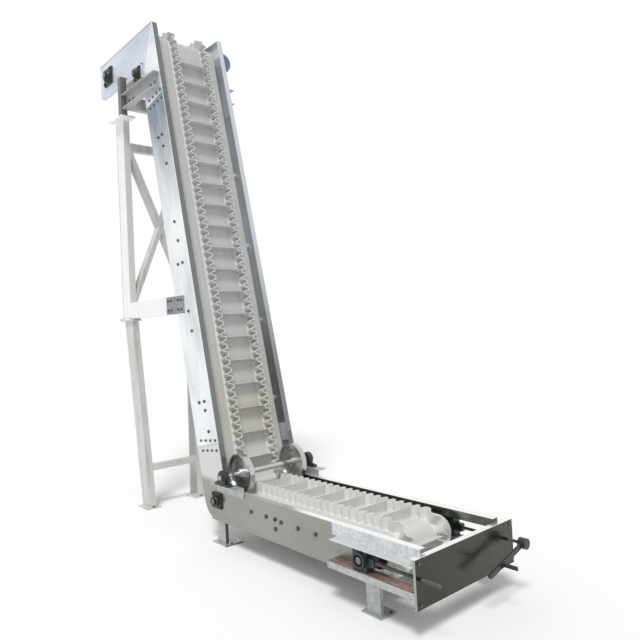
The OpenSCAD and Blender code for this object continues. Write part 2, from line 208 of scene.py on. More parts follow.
def brushed(name, light, shade, turn=0.0, rough=0.34, smear=1.0, drift=None, grainy=0.5, metallic=0.82,
            facets=(), edge_highlight=0.0, bands=(), low=None, crease=None):
    f = Finish(name, metallic=metallic, roughness=rough)
    grain = f.noise(f.place((0, turn, 0), (6, 260, 260)), 1.0, 3.0)
    long_grain = f.noise(f.place((0, turn, 0), (0.9, 60, 60)), 1.0, 2.0)
    clouds = f.noise(f.place((0, turn, 0), (1.2, 3, 3)), 1.0, 5.0, 0.6)
    spots = f.noise(f.place(), 34.0, 4.0).above(0.66, 0.05)
    amount = (clouds - 0.5) * (1.5 * smear) + (long_grain - 0.5) * grainy + (grain - 0.5) * grainy + 0.42
    if drift is not None:
        amount = amount + drift(f)
    colour = f.mix(amount, light, shade)
    colour = f.mix(spots * 0.25, colour, tone(120, 118, 110))
    # painted highlight: a bright line along the front edge of the sheet
    behind = f.along("X") * -sin(RISE) - f.along("Z") * cos(RISE) - FRONT_SHIFT
    colour = f.mix((1 - behind.above(0.012, 0.005)) * edge_highlight, colour, tone(250, 252, 253))
    for level, blur, amount, band_tone in bands:
        colour = f.mix(f.along("Z").above(level, blur) * amount, colour, band_tone)
    # painted shade and painted light on faces that point one way
    for axis, sign, facet_tone in facets:
        colour = f.mix((f.facing(axis) * sign).above(0.8, 0.1) * 0.88, colour, facet_tone)
    # painted shade: the low tone darkens the sheet towards its bottom
    if low is not None:
        level, blur, amount, low_shade_tone = low
        colour = f.mix((1 - f.along("Z").above(level, blur)) * amount, colour, low_shade_tone)
    # painted highlight along the head plate's crease, and a bluer painted reflection behind it
    if crease is not None:
        beyond = f.along("X") * crease[0] + f.along("Z") * crease[1] - crease[2]
        colour = f.mix(beyond.above(0.0, 0.006) * 0.4, colour, tone(186, 192, 214))
        crease_highlight = beyond.above(-0.005, 0.002) - beyond.above(0.005, 0.002)
        colour = f.mix(crease_highlight * 0.85, colour, tone(253, 254, 255))
    return f.finish(colour, (clouds - 0.5) * 0.22 + (grain - 0.5) * 0.18 + rough, grain, 0.00035, 0.35)


def painted_wall_reflection(f):
    """Painted reflection: the upper part of the riser is painted darker with height, like a mirrored darker
    wall.
    """
    return f.along("Z").above(3.35, 0.8) * 1.15 - 0.28


# painted shade on the front rims of the near sheets, painted light on the far rims and on top faces
shaded_rim, lit_rim = ("X", 1, tone(84, 90, 88)), ("X", 1, tone(196, 202, 207))
lit_top = ("Z", 1, tone(254, 255, 255))
riser_tones = (tone(242, 245, 246), tone(136, 147, 158))
near_riser = brushed("brushed riser sheet", *riser_tones, turn=RISE, drift=painted_wall_reflection, grainy=0.35,
                     facets=[shaded_rim], edge_highlight=0.6)
# the far riser sheet gets painted shade low down beside the belt
far_riser = brushed("far riser sheet", *riser_tones, turn=RISE, grainy=0.35, facets=[lit_rim], metallic=0.4,
                    low=(1.9, 0.7, 0.7, tone(84, 82, 78)))
head_tones = (tone(247, 251, 253), tone(196, 207, 218))
near_head = brushed("brushed head sheet", *head_tones, smear=1.8, grainy=0.3, facets=[shaded_rim],
                    edge_highlight=0.6, bands=[(4.499, 0.003, 0.85, tone(98, 74, 68))], crease=HEAD_CREASE)
far_head = brushed("far head sheet", *head_tones, smear=1.6, grainy=0.3, facets=[lit_rim], metallic=0.4)
# painted reflection: the loading sheet is painted a darker grey, as a mirrored floor would make it, and
# lighter above 0.5 m
sheet_load = brushed("brushed loading sheet", tone(168, 167, 161), tone(140, 139, 132), rough=0.24,
                     grainy=0.3, facets=[lit_top, shaded_rim], bands=[(0.5, 0.03, 0.85, tone(222, 224, 223))])
# painted shade: the end sheet's dark tone, with painted light on its near flange and its top
sheet_end = brushed("mirror end sheet", tone(76, 75, 69), tone(56, 55, 50), rough=0.25, grainy=0.25,
                    facets=[lit_top, ("Y", -1, tone(176, 177, 174))])
print("sheet finishes made")

# %% [markdown]
# ## Galvanised steel
# Zinc freezes in flat crystals of many tones, the spangle. A Voronoi pattern gives each crystal its
# own grey, and a noise blurs the borders. Handling leaves dull grey and whitish patches.

# %% Galvanised finishes
def galvanised(name, light, shade, rust=None, shaded_flank=None):
    f = Finish(name, metallic=0.55, roughness=0.45)
    spot = f.place()
    crystal = f.node("TexVoronoi", {"feature": "F1"}, {"Vector": spot, "Scale": 70.0}, out="Color")
    grey = f.node("RGBToBW", None, {0: crystal})
    clouds = f.noise(spot, 9.0, 5.0, 0.65)
    fine = f.noise(spot, 180.0, 3.0)
    colour = f.mix(grey * 0.45 + clouds * 0.9 - 0.25, light, shade)
    if rust is not None:
        colour = f.mix(rust(f), colour, f.mix(fine, tone(162, 116, 92), tone(112, 78, 62)))
    # painted shade on faces along X
    if shaded_flank is not None:
        colour = f.mix(f.facing("X").above(0.8, 0.1) * 0.85, colour, shaded_flank)
    return f.finish(colour, grey * 0.2 + clouds * 0.3 + 0.2, fine, 0.0004, 0.4)


def on_ledge(f):
    """The top of the lower guide, where the carriage's feet wear the zinc off."""
    patch = f.noise(f.place((0, 0, 0), (4, 60, 30)), 1.0, 5.0).above(0.42, 0.07)
    low = 1 - f.along("Z").above(0.262, 0.002)
    return f.facing("Z").above(0.6, 0.2) * patch * low * 0.95


zinc = galvanised("galvanised steel", tone(238, 241, 243), tone(176, 178, 180))
feet_tones = (tone(206, 208, 209), tone(138, 140, 141))
zinc_feet = galvanised("galvanised feet", *feet_tones)
zinc_bend = galvanised("galvanised bend feet", *feet_tones, shaded_flank=tone(64, 66, 64))
zinc_dark = galvanised("weathered galvanised steel", tone(168, 170, 175), tone(92, 94, 98))
zinc_rusty = galvanised("galvanised guide with rust", tone(206, 207, 207), tone(140, 141, 142), on_ledge)
print("galvanised finishes made")

# %% [markdown]
# ## Paint, cast iron and turned steel
# The rear frame is painted channel section. Paint shows orange-peel bumps, drips of dust on top
# faces and chips at random. The bearings are cast iron in dark enamel, coarse from the sand mould.
# Shafts and wheels are turned, so their grain runs in rings around the shaft: a fine noise that
# reads only the distance from the axis and the place along it.

# %% Paint and iron
def painted(name, light, shade, chip, rough=0.42, peel=160.0, chips=0.7, shaded_flank=None, rear=None):
    """The tone for faces along X is painted shade, and rear the x behind which near faces get a dark brown
    edge.
    """
    f = Finish(name, roughness=rough, Coat_Roughness=0.3)
    spot = f.place()
    clouds = f.noise(spot, 4.0, 5.0, 0.6)
    bumps = f.noise(spot, peel, 2.0)
    chipped = f.noise(spot, 26.0, 6.0, 0.7).above(chips, 0.02)
    streaks = f.noise(f.place((0, 0, 0), (22, 22, 1.2)), 1.0, 3.0).above(0.6, 0.1)
    colour = f.mix(clouds * 0.6 + streaks * 0.35, light, shade)
    colour = f.mix(chipped * 0.8, colour, chip)
    # painted shade on faces along X
    if shaded_flank is not None:
        colour = f.mix(f.facing("X").above(0.8, 0.1) * 0.88, colour, shaded_flank)
    if rear is not None:
        edge = (1 - f.along("X").above(rear, 0.003)) * (f.facing("Y") * -1).above(0.8, 0.1)
        colour = f.mix(edge * 0.8, colour, tone(124, 100, 92))
    roughness = clouds * 0.25 + chipped * 0.25 + (rough - 0.12)
    return f.finish(colour, roughness, bumps - chipped * 0.6, 0.0006, 0.35)


paint_frame = painted("frame paint", tone(252, 253, 252), tone(226, 227, 225), tone(150, 140, 128),
                      shaded_flank=tone(216, 215, 211), rear=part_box("upper_posts")[0].x + 0.038)
# painted shade: the stub and the head beams are painted darker because they stand in shade
stub_paint_in_shade = painted("stub paint", tone(128, 126, 127), tone(74, 73, 74), tone(60, 57, 54))
beam_paint_in_shade = painted("beam paint", tone(196, 193, 194), tone(136, 133, 134), tone(104, 98, 94))
paint_leg = painted("leg paint", tone(222, 222, 218), tone(168, 169, 164), tone(120, 112, 104))
enamel = painted("bearing enamel", tone(40, 51, 48), tone(20, 26, 25), tone(90, 92, 90), 0.34, 90.0, 0.72)
drive_enamel = painted("drive enamel", tone(132, 140, 176), tone(92, 98, 142), tone(60, 62, 80),
                       0.36, 120.0, 0.74)
bare_steel = painted("bare dark steel", tone(48, 48, 46), tone(26, 26, 25), tone(96, 84, 74), 0.4, 110.0, 0.7)

# %% Turned steel
def turned_steel(name, centre, light, shade, rough=0.26, soil=0.7):
    f = Finish(name, metallic=0.9, roughness=rough)
    spot = f.node("TexCoord", out="Object")
    moved = f.node("VectorMath", {"operation": "SUBTRACT"}, {0: spot, 1: (centre[0], 0, centre[1])})
    flat = f.node("VectorMath", {"operation": "MULTIPLY"}, {0: moved, 1: (1, 0, 1)})
    radius = f.node("VectorMath", {"operation": "LENGTH"}, {0: flat}, out="Value")
    across = f.node("SeparateXYZ", None, {0: moved}, out="Y")
    ring = f.node("CombineXYZ", None, {0: radius * 420, 1: across * 420})
    rings = f.noise(ring, 1.0, 2.0)
    clouds = f.noise(spot, 16.0, 5.0, 0.65)
    colour = f.mix((rings - 0.5) * 1.2 + clouds * soil, light, shade)
    return f.finish(colour, (rings - 0.5) * 0.2 + (clouds - 0.5) * 0.3 + rough, rings, 0.0003, 0.4)


wheel_mid = (-0.684445, 0.568)
wheel_steel = turned_steel("turned wheel steel", wheel_mid, tone(206, 206, 204), tone(112, 113, 112),
                           0.2, 0.35)
shaft_steel = turned_steel("turned shaft steel", (0, 0), tone(150, 150, 146), tone(78, 78, 74))
screw_steel = turned_steel("oiled screw steel", (0, 0), tone(114, 112, 108), tone(56, 54, 52), 0.3)
bolt_zinc = turned_steel("zinc plated bolts", (0, 0), tone(136, 136, 132), tone(44, 44, 42), 0.26)
print("paint, enamel and turned steel made")

# %% [markdown]
# ## The white belt
# The belt is white food-grade rubber. It is matt and slightly uneven from the press. Up the riser it
# is painted greyer as painted shade, warmer grey near the bend. The waves and cleats are the same rubber.

# %% Belt rubber
def rubber(name, light, shade, dirt, crest_highlight=0.0):
    f = Finish(name, roughness=0.6)
    spot = f.place()
    press = f.noise(spot, 240.0, 2.0)
    clouds = f.noise(spot, 5.0, 6.0, 0.6)
    scuffs = f.noise(f.place((0, 0, 0), (8, 60, 8)), 1.0, 4.0).above(0.62, 0.08)
    colour = f.mix(clouds * 0.8 + scuffs * dirt, light, shade)
    # painted shade: the rubber greys with height, warmer near the bend
    painted_riser_shade = f.along("Z").above(0.75, 0.25) * 0.62
    grey = f.mix(f.along("Z").above(1.3, 0.7), tone(172, 168, 152), tone(180, 181, 180))
    colour = f.mix(painted_riser_shade, colour, grey)
    # painted highlight on the outer rims of the waves
    colour = f.mix(f.facing("X").above(0.85, 0.1) * crest_highlight, colour, tone(250, 250, 247))
    return f.finish(colour, clouds * 0.2 + 0.48, press, 0.0004, 0.3)


belt_rubber = rubber("white belt rubber", tone(222, 222, 219), tone(196, 196, 191), 0.3)
wave_rubber = rubber("white sidewall rubber", tone(236, 236, 232), tone(206, 206, 202), 0.2, crest_highlight=0.5)
# painted shade: the cleats are a little darker than the belt
cleat_rubber = rubber("white cleat rubber", tone(220, 220, 217), tone(192, 192, 188), 0.3)
print("rubber made")

# %% Give the CAD nodes their finishes
finishes = {
    "near_loading_plate": sheet_load, "far_loading_plate": sheet_load, "near_riser_plate": near_riser,
    "far_riser_plate": far_riser, "near_head_plate": near_head, "far_head_plate": far_head,
    "splice_plates": far_head, "cross_ties": zinc, "end_plate": sheet_end, "upper_guides": zinc,
    "lower_guides": zinc_rusty, "bend_feet": zinc_bend, "tail_feet": zinc_feet, "wheel_brackets": zinc_feet,
    "snub_brackets": far_head, "head_beams": beam_paint_in_shade, "head_stubs": stub_paint_in_shade,
    "upper_posts": paint_frame, "tie_beams": paint_frame, "gusset_plates": zinc_dark,
    "rear_legs": paint_leg, "frame_beams": paint_leg, "x_brace": paint_leg, "gear_unit": drive_enamel,
    "motor": drive_enamel, "belt": belt_rubber, "sidewalls": wave_rubber, "cleats": cleat_rubber,
    "head_drum": shaft_steel, "bend_drums": shaft_steel, "snub_wheels": shaft_steel,
    "take_up_blocks": enamel, "tail_drum": shaft_steel, "near_screw": screw_steel,
    "far_screw": screw_steel, "tension_lever": bare_steel, "hold_down_wheels": wheel_steel,
    "wheel_bearings": enamel, "corner_bearings": enamel, "snub_bearings": enamel, "head_bearings": enamel,
}
for name, node in nodes.items():
    node.data.materials.clear()
    node.data.materials.append(finishes[name])
print("CAD nodes dressed:", len(finishes))

# %% [markdown]
# ## Tools for modelling
# Each new piece starts as an empty bmesh. Small helpers add a box, a bar or a turned shape to it.
# Turned parts are made as on a lathe: an outline of radius against length is spun around the axis.
# At the end the normals are recalculated, so that every face points outwards, and corners sharper
# than 35 degrees stay sharp while the rest is shaded smooth.

# %% Helpers
def box(bm, size, spot=(0, 0, 0), turn=None, edge=0.0, steps=2):
    """A block with rounded edges, size in metres, placed by its middle."""
    part = bmesh.new()
    bmesh.ops.create_cube(part, size=1.0)
    bmesh.ops.scale(part, vec=size, verts=part.verts)
    if edge:
        bmesh.ops.bevel(part, geom=part.edges[:], offset=edge, segments=steps, profile=0.5,
                        affect="EDGES", material=-1, clamp_overlap=True)
    return add(bm, part, (turn or Matrix()).to_4x4(), spot)


def add(bm, part, turn=Matrix(), spot=(0, 0, 0)):
    bmesh.ops.transform(part, matrix=Matrix.Translation(spot) @ turn.to_4x4(), verts=part.verts)
    holder = bpy.data.meshes.new("part")
    part.to_mesh(holder)
    part.free()
    bm.from_mesh(holder)
    bpy.data.meshes.remove(holder)


TURN_TO = {"x": Matrix.Rotation(pi / 2, 3, "Y"), "y": Matrix.Rotation(-pi / 2, 3, "X"),
           "z": Matrix.Identity(3)}


def turned(bm, outline, spot, axis="y", steps=32, flip=False):
    """Spins an outline of (radius, length) pairs around the axis through the spot."""
    part = bmesh.new()
    verts = [part.verts.new((r, 0, -h if flip else h)) for r, h in outline]
    for a, b in zip(verts, verts[1:]):
        part.edges.new((a, b))
    bmesh.ops.spin(part, geom=part.verts[:] + part.edges[:], cent=(0, 0, 0), axis=(0, 0, 1), dvec=(0, 0, 0),
                   angle=2 * pi, steps=steps, use_merge=True)
    bmesh.ops.remove_doubles(part, verts=part.verts, dist=1e-6)
    add(bm, part, TURN_TO[axis], spot)


def hex_bolt(bm, spot, outward, size=0.008, washer=True):
    """A hexagon head on a washer, standing outward from a face at the spot."""
    part = bmesh.new()
    z0 = 0.0
    if washer:
        bmesh.ops.create_cone(part, cap_ends=True, segments=14, radius1=size * 1.35, radius2=size * 1.35,
                              depth=size * 0.22, matrix=Matrix.Translation((0, 0, size * 0.11)))
        z0 = size * 0.22
    bmesh.ops.create_cone(part, cap_ends=True, segments=6, radius1=size, radius2=size * 0.94,
                          depth=size * 0.7, matrix=Matrix.Translation((0, 0, z0 + size * 0.35)))
    turn = Vector((0, 0, 1)).rotation_difference(Vector(outward)).to_matrix()
    add(bm, part, turn, spot)


def keep(bm, name, body, material, replaced=(), sharp=35):
    """Turns the bmesh into a finished piece that rides on a body."""
    bmesh.ops.recalc_face_normals(bm, faces=bm.faces)
    mesh = bpy.data.meshes.new(name)
    bm.to_mesh(mesh)
    bm.free()
    mesh.shade_smooth()
    mesh.set_sharp_from_angle(angle=radians(sharp))
    mesh.materials.append(material)
    piece = bpy.data.objects.new(name, mesh)
    bpy.context.scene.collection.objects.link(piece)
    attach(piece, body)
    if replaced:
        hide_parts(*replaced)
    print(name, "faces:", len(mesh.polygons))
    return piece


# %% [markdown]
# ## The line of the belt
# The belt runs round two end drums, two bend drums and two pairs of wheels that press on its edges.
# Its line is a list of straights and arcs. A function turns a length along the line and a height
# above the belt's face into a point, so that flat strips can be wrapped onto the line.

# %% Line of the belt
# height of the belt's face on the loading run, and radii of that face at the drums and the wheels
FACE, BAND, WHEEL, TOP, SNUB, CORNER = 0.418, 0.093, 0.150, 0.114, 0.120, 0.118
# the solid drums' radius, the heights of the tail and head shafts, and the head run's face
DRUM, TAIL_Z, HEAD_Z, HEAD_FACE = 0.0847, 0.325, 4.343, 4.436
# x where the riser's front line meets the floor, the shift to the part's origin, the belt's setback
FRONT_X, SHIFT_X, SETBACK = 0.380, 1.0255, 0.070
tail_mid = Vector((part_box("tail_drum")[1].x - DRUM, TAIL_Z))
drum_mid = Vector((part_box("head_drum")[0].x + DRUM, HEAD_Z))


def beside_riser(distance, height):
    """The point at this distance in front of the riser's front line, at this height."""
    return Vector(((FRONT_X + (distance - height * cos(RISE)) / sin(RISE)) - SHIFT_X, height))


top_mid = beside_riser(-SETBACK - TOP, HEAD_FACE - TOP)
snub_mid = beside_riser(-SETBACK - 2 * BAND - SNUB, HEAD_Z - BAND - SNUB)
corner_mid = beside_riser(-SETBACK - 2 * BAND + CORNER, 0.232 + CORNER)
wheel_point = beside_riser(-SETBACK + WHEEL, FACE + WHEEL)
# centre, radius of the belt's face there, first and last angle, and +1 where the belt is wrapped outside
turns = [(tail_mid, BAND, -90, 90, 1), (wheel_point, WHEEL, -90, -168, -1), (top_mid, TOP, 12, 90, 1),
         (drum_mid, BAND, 90, 270, 1), (snub_mid, SNUB, 90, 12, -1), (corner_mid, CORNER, 192, 270, 1)]


def spoke(angle):
    return Vector((cos(radians(angle)), sin(radians(angle))))


pieces_of_line = []
for number, (mid, radius, start, end, side) in enumerate(turns):
    pieces_of_line.append(("arc", mid, radius, start, end, side, radius * radians(abs(end - start))))
    nxt = turns[(number + 1) % len(turns)]
    p, q = mid + spoke(end) * radius, nxt[0] + spoke(nxt[2]) * nxt[1]
    pieces_of_line.append(("straight", p, q, side, spoke(end) * side, None, (q - p).length))
LOOP = sum(piece[-1] for piece in pieces_of_line)


def on_belt(length, height):
    """The point at this length along the line and this height above the belt's face."""
    length = length % LOOP
    for piece in pieces_of_line:
        if length <= piece[-1]:
            break
        length -= piece[-1]
    if piece[0] == "arc":
        _, mid, radius, start, end, side, whole = piece
        angle = start + (end - start) * length / whole
        return mid + spoke(angle) * (radius + side * height)
    _, p, q, side, normal, _, whole = piece
    return p + (q - p) * (length / whole) + normal * height


print("belt length", round(LOOP, 2), "m")

# %% [markdown]
# ## Belt and corrugated sidewalls
# The sidewalls fold like a curtain, so that they can stretch round the drums. Each starts as a flat
# grid as long as the belt. A sine moves the grid sideways, and a smaller one moves it along, which
# gives the full round folds. Then every vertex is carried onto the belt's line, the two ends are
# joined, and the sheet gets its thickness.

# %% Strips wrapped on the belt's line
def strip(section, columns):
    """A closed section of (y, height) corners, carried round the whole line."""
    part = bmesh.new()
    rows = len(section)
    bmesh.ops.create_grid(part, x_segments=columns, y_segments=rows, size=0.5)
    for vert in part.verts:
        step = round((vert.co.x + 0.5) * columns)
        row = round((vert.co.y + 0.5) * rows) % rows
        y, height = section[row]
        spot = on_belt(step / columns * LOOP, height)
        vert.co = (spot.x, y, spot.y)
    bmesh.ops.remove_doubles(part, verts=part.verts, dist=1e-6)
    return part


def curtain(side, columns_per_wave=14):
    """One sidewall. A wave is 67 mm long, and the sheet stands 71 mm high."""
    waves = round(LOOP / 0.0667)
    columns = waves * columns_per_wave
    part = bmesh.new()
    bmesh.ops.create_grid(part, x_segments=columns, y_segments=2, size=0.5)
    for vert in part.verts:
        step = round((vert.co.x + 0.5) * columns)
        row = round((vert.co.y + 0.5) * 2)
        phase = 2 * pi * step / columns_per_wave
        spot = on_belt((step - 0.9 * sin(2 * phase)) / columns * LOOP, 0.0035 + row * 0.0355)
        vert.co = (spot.x, side * (0.165 + 0.0205 * sin(phase)), spot.y)
    bmesh.ops.remove_doubles(part, verts=part.verts, dist=1e-6)
    bmesh.ops.recalc_face_normals(part, faces=part.faces)
    bmesh.ops.solidify(part, geom=part.faces[:], thickness=0.0055)
    return part


belt = bmesh.new()
add(belt, strip([(-0.3, -0.008), (-0.3, 0.0), (0.3, 0.0), (0.3, -0.008)], 620))
keep(belt, "conveyor_belt", "frame", belt_rubber, ["belt"])
walls = bmesh.new()
for side in (-1, 1):
    add(walls, curtain(side))
    foot = [(0.136, 0.0), (0.136, 0.003), (0.139, 0.004), (0.191, 0.004), (0.194, 0.003), (0.194, 0.0)]
    add(walls, strip([(side * y, height) for y, height in foot], 620))
keep(walls, "corrugated_sidewalls", "frame", wave_rubber, ["sidewalls"], sharp=50)

# %% [markdown]
# ## Bearings
# The shafts turn in ball bearings held by iron castings. A flange unit is a square plate with a
# domed middle that is bolted flat on the side plate. A pillow block stands on a foot. Both hold a
# steel insert with a locking collar. The castings have generous round edges, because sand moulds
# can't hold sharp ones.

# %% Flange units
HALF = 0.375


def flange_unit(bm, spot, size, shaft, side, base=0.0):
    """A square flange bearing on the outside of a side plate. side is -1 near and +1 far."""
    face = side * (HALF + base)
    box(bm, (size, 0.0135, size), (spot[0], face + side * 0.00695, spot[1]), edge=0.0045, steps=3)
    s = size
    dome = [(s * 0.36, 0.010), (s * 0.36, 0.016), (s * 0.345, 0.026), (s * 0.31, 0.036), (s * 0.29, 0.039),
            (s * 0.265, 0.039), (s * 0.255, 0.0365), (s * 0.24, 0.0365), (s * 0.24, 0.044),
            (shaft + 0.008, 0.045), (shaft + 0.006, 0.051), (shaft + 0.0004, 0.0515),
            (shaft + 0.0004, 0.010), (s * 0.36, 0.010)]
    turned(bm, dome, (spot[0], face, spot[1]), "y", 40, flip=side < 0)
    for i in (-1, 1):
        for j in (-1, 1):
            corner = (spot[0] + i * s * 0.37, face + side * 0.0136, spot[1] + j * s * 0.37)
            hex_bolt(bm, corner, (0, side, 0), s * 0.072)
    box(bm, (0.005, 0.010, 0.012), (spot[0], face + side * 0.032, spot[1] + s * 0.325), edge=0.0012)


corner = bmesh.new()
for side in (-1, 1):
    flange_unit(corner, corner_mid, 0.124, 0.022, side)
keep(corner, "corner_bearing_units", "frame", enamel, ["corner_bearings"])
snub = bmesh.new()
for side in (-1, 1):
    flange_unit(snub, snub_mid, 0.126, 0.020, side, 0.008)
keep(snub, "snub_bearing_units", "frame", enamel, ["snub_bearings"])
head = bmesh.new()
flange_unit(head, drum_mid, 0.176, 0.028, -1)
keep(head, "head_bearing_unit", "frame", enamel, ["head_bearings"])

# %% Pillow blocks of the hold-down wheels
wheel_spot = Vector((wheel_point.x, 0, wheel_point.y))


def on_wheel(x, y, z):
    return wheel_spot + Vector((x, y, z))


pillow = bmesh.new()
for side in (-1, 1):
    y = side * (HALF + 0.054)
    box(pillow, (0.184, 0.046, 0.018), on_wheel(0, y, -0.053), edge=0.005, steps=3)
    box(pillow, (0.092, 0.040, 0.044), on_wheel(0, y, -0.028), edge=0.008, steps=3)
    hood = [(0.0182, -0.030), (0.036, -0.030), (0.036, -0.024), (0.040, -0.023), (0.046, -0.0225),
            (0.0505, -0.018), (0.0515, -0.010), (0.0515, 0.010), (0.0505, 0.018), (0.046, 0.0225),
            (0.040, 0.023), (0.036, 0.024), (0.036, 0.0315), (0.0182, 0.0315), (0.0182, -0.030)]
    turned(pillow, hood, on_wheel(0, y, 0), "y", 40)
    for i in (-1, 1):
        hex_bolt(pillow, on_wheel(i * 0.070, y, -0.044), (0, 0, 1), 0.0105)
    box(pillow, (0.006, 0.006, 0.008), on_wheel(0.012, y, 0.0480), edge=0.0015)
keep(pillow, "pillow_blocks", "frame", enamel, ["wheel_bearings"])

# %% [markdown]
# ## Screws, nuts and the take-up carriage
# Turning the screws pulls the tail drum back and tightens the belt. A thread is modelled as fine
# rings: an outline that steps in and out at every pitch is spun around the rod. Real threads climb,
# but at this size the eye sees only the rings. Nuts lock the screws at the end plate.

# %% Threaded screws
near_box, far_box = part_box("near_screw"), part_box("far_screw")


def thread(bm, x0, x1, y, z, radius, pitch=0.004):
    outline, x = [(0.0, 0.0), (radius * 0.8, 0.0)], 0.002
    while x < x1 - x0 - 0.003:
        outline += [(radius, x), (radius * 0.86, x + pitch * 0.45)]
        x += pitch
    outline += [(radius * 0.8, x1 - x0), (0.0, x1 - x0)]
    turned(bm, outline, (x0, y, z), "x", 16)


for name, corners in (("near_screw", near_box), ("far_screw", far_box)):
    rod = bmesh.new()
    y, z = (corners[0].y + corners[1].y) / 2, (corners[0].z + corners[1].z) / 2
    thread(rod, corners[0].x, corners[1].x, y, z, 0.00998)
    keep(rod, name + "_thread", name, screw_steel, [name])

# %% Nuts and the carriage's details
SCREW_Y = 0.420
end_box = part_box("end_plate")
nuts = bmesh.new()
for side in (-1, 1):
    y = side * SCREW_Y
    ring = [(0.0102, -0.008), (0.0165, -0.008), (0.0165, 0.008), (0.0102, 0.008), (0.0102, -0.008)]
    turned(nuts, ring, (end_box[1].x - 0.0125, y, TAIL_Z), "x", 6)
for y in (-0.440, 0.440):
    for z in (0.200, 0.414):
        hex_bolt(nuts, (end_box[1].x, y, z), (1, 0, 0), 0.0075)
keep(nuts, "end_plate_nuts", "frame", bolt_zinc)

carriage = bmesh.new()
for side in (-1, 1):
    out = HALF + 0.0765
    boss = [(0.0225, -0.008), (0.048, -0.008), (0.0478, 0.004), (0.045, 0.0085), (0.0225, 0.0085),
            (0.0225, -0.008)]
    turned(carriage, boss, (tail_mid.x, side * out, TAIL_Z), "y", 40, flip=side < 0)
    cap = [(0.0225, 0.0), (0.036, 0.0), (0.036, 0.010), (0.032, 0.0115), (0.0225, 0.0115), (0.0225, 0.0)]
    turned(carriage, cap, (tail_mid.x, side * out, TAIL_Z), "y", 36, flip=side < 0)
    for i in (-1, 1):
        for j in (-1, 1):
            spot = (tail_mid.x + i * 0.039, side * (out - 0.0155), TAIL_Z + j * 0.046)
            hex_bolt(carriage, spot, (0, side, 0), 0.0065)
keep(carriage, "carriage_caps", "take_up", enamel)

# %% [markdown]
# ## Bolts, seams and welds
# Small fasteners give the eye a sense of size. The rows on both sides of each seam hold the splice
# strips inside, and the loose ones hold the belt's inner guides. Each place is given by its distance
# behind the riser's front line and its distance up along it, so that a row runs square to the edge.

# %% Bolts in the side plates
def riser_spot(behind, up_along):
    x = FRONT_X - behind * sin(RISE) - up_along * cos(RISE) - SHIFT_X
    return x, -behind * cos(RISE) + up_along * sin(RISE)


# each row's height at its front and rear bolt, and how far these lie behind the front line
rows = [(3.940, 3.949, 0.041, 0.248), (3.862, 3.873, 0.044, 0.258),
        (0.843, 0.863, 0.041, 0.251), (0.765, 0.781, 0.042, 0.243)]
riser_holes = [(-450, 3214), (-512, 3203), (-433, 3113), (-394, 2957), (-303, 2461), (-260, 2302),
               (-204, 2120), (-276, 2113), (-146, 1732), (-107, 1576), (28, 1040), (-45, 1027), (36, 973),
               (71, 819)]
# the riser's holes were measured before the part was brought to its size
GROWN = 1.0714e-3
loading_holes = [(-0.422, 0.349), (-0.246, 0.351), (-0.144, 0.353), (-0.079, 0.346), (-0.144, 0.287),
                 (0.097, 0.346), (0.268, 0.347)]
plate_bolts = bmesh.new()
for side in (-1, 1):
    for first, last, front, rear in rows:
        for i in range(4):
            t = i / 3
            x, z = riser_spot(front + (rear - front) * t, first + (last - first) * t)
            hex_bolt(plate_bolts, (x, side * HALF, z), (0, side, 0), 0.0088)
    for x, z in riser_holes:
        hex_bolt(plate_bolts, (x * GROWN - SHIFT_X, side * HALF, z * GROWN), (0, side, 0), 0.0110)
    for x, z in loading_holes:
        hex_bolt(plate_bolts, (x, side * HALF, z), (0, side, 0), 0.0125)
keep(plate_bolts, "plate_bolts", "frame", bolt_zinc)

# %% Bolts of the frame, the brackets and the feet
frame_bolts = bmesh.new()
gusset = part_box("gusset_plates")
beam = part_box("head_beams")
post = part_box("upper_posts")
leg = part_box("rear_legs")
for side in (-1, 1):
    for x in (gusset[0].x + 0.035, gusset[0].x + 0.085, gusset[1].x - 0.085, gusset[1].x - 0.035):
        for z in (gusset[0].z + 0.035, gusset[1].z - 0.035):
            hex_bolt(frame_bolts, (x, side * (HALF + 0.008), z), (0, side, 0), 0.009)
    for x in (-2.095, -2.02, -1.66, -1.585):
        hex_bolt(frame_bolts, (x, side * (HALF + 0.007), 3.94), (0, side, 0), 0.009)
    for i in (-1, 1):
        for j in (-1, 1):
            spot = (snub_mid.x + 0.007 + i * 0.076, side * (HALF + 0.008), snub_mid.y + j * 0.069)
            hex_bolt(frame_bolts, spot, (0, side, 0), 0.007)
    for x in (-2.418, -2.262):
        for y in (0.389, 0.321):
            hex_bolt(frame_bolts, (x, side * y, 1.840), (0, 0, 1), 0.008)
    hex_bolt(frame_bolts, (-0.8035, side * 0.300, 0.010), (0, 0, 1), 0.010)
    hex_bolt(frame_bolts, (0.8035, side * 0.300, 0.010), (0, 0, 1), 0.010)
    for i in (-1, 1):
        hex_bolt(frame_bolts, (-2.2475 + i * 0.084, side * 0.2675, 0.012), (0, 0, 1), 0.011)
keep(frame_bolts, "frame_bolts", "frame", bolt_zinc)

# %% Seams and welds
seam_dark = painted("seam", tone(88, 90, 92), tone(50, 50, 50), tone(120, 118, 112), 0.5)


def bead(bm, start, end, radius, lumps=0):
    """A thin round bead between two points. A weld has lumps, a seam has none."""
    start, end = Vector(start), Vector(end)
    length = (end - start).length
    count = max(lumps, 1)
    outline = [(0.0, 0.0)]
    for i in range(count):
        outline += [(radius * 0.75, length * (i + 0.05) / count), (radius, length * (i + 0.5) / count),
                    (radius * 0.75, length * (i + 0.95) / count)]
    outline.append((0.0, length))
    part = bmesh.new()
    turned(part, outline, (0, 0, 0), "z", 8)
    turn = Vector((0, 0, 1)).rotation_difference((end - start).normalized()).to_matrix()
    add(bm, part, turn, start)


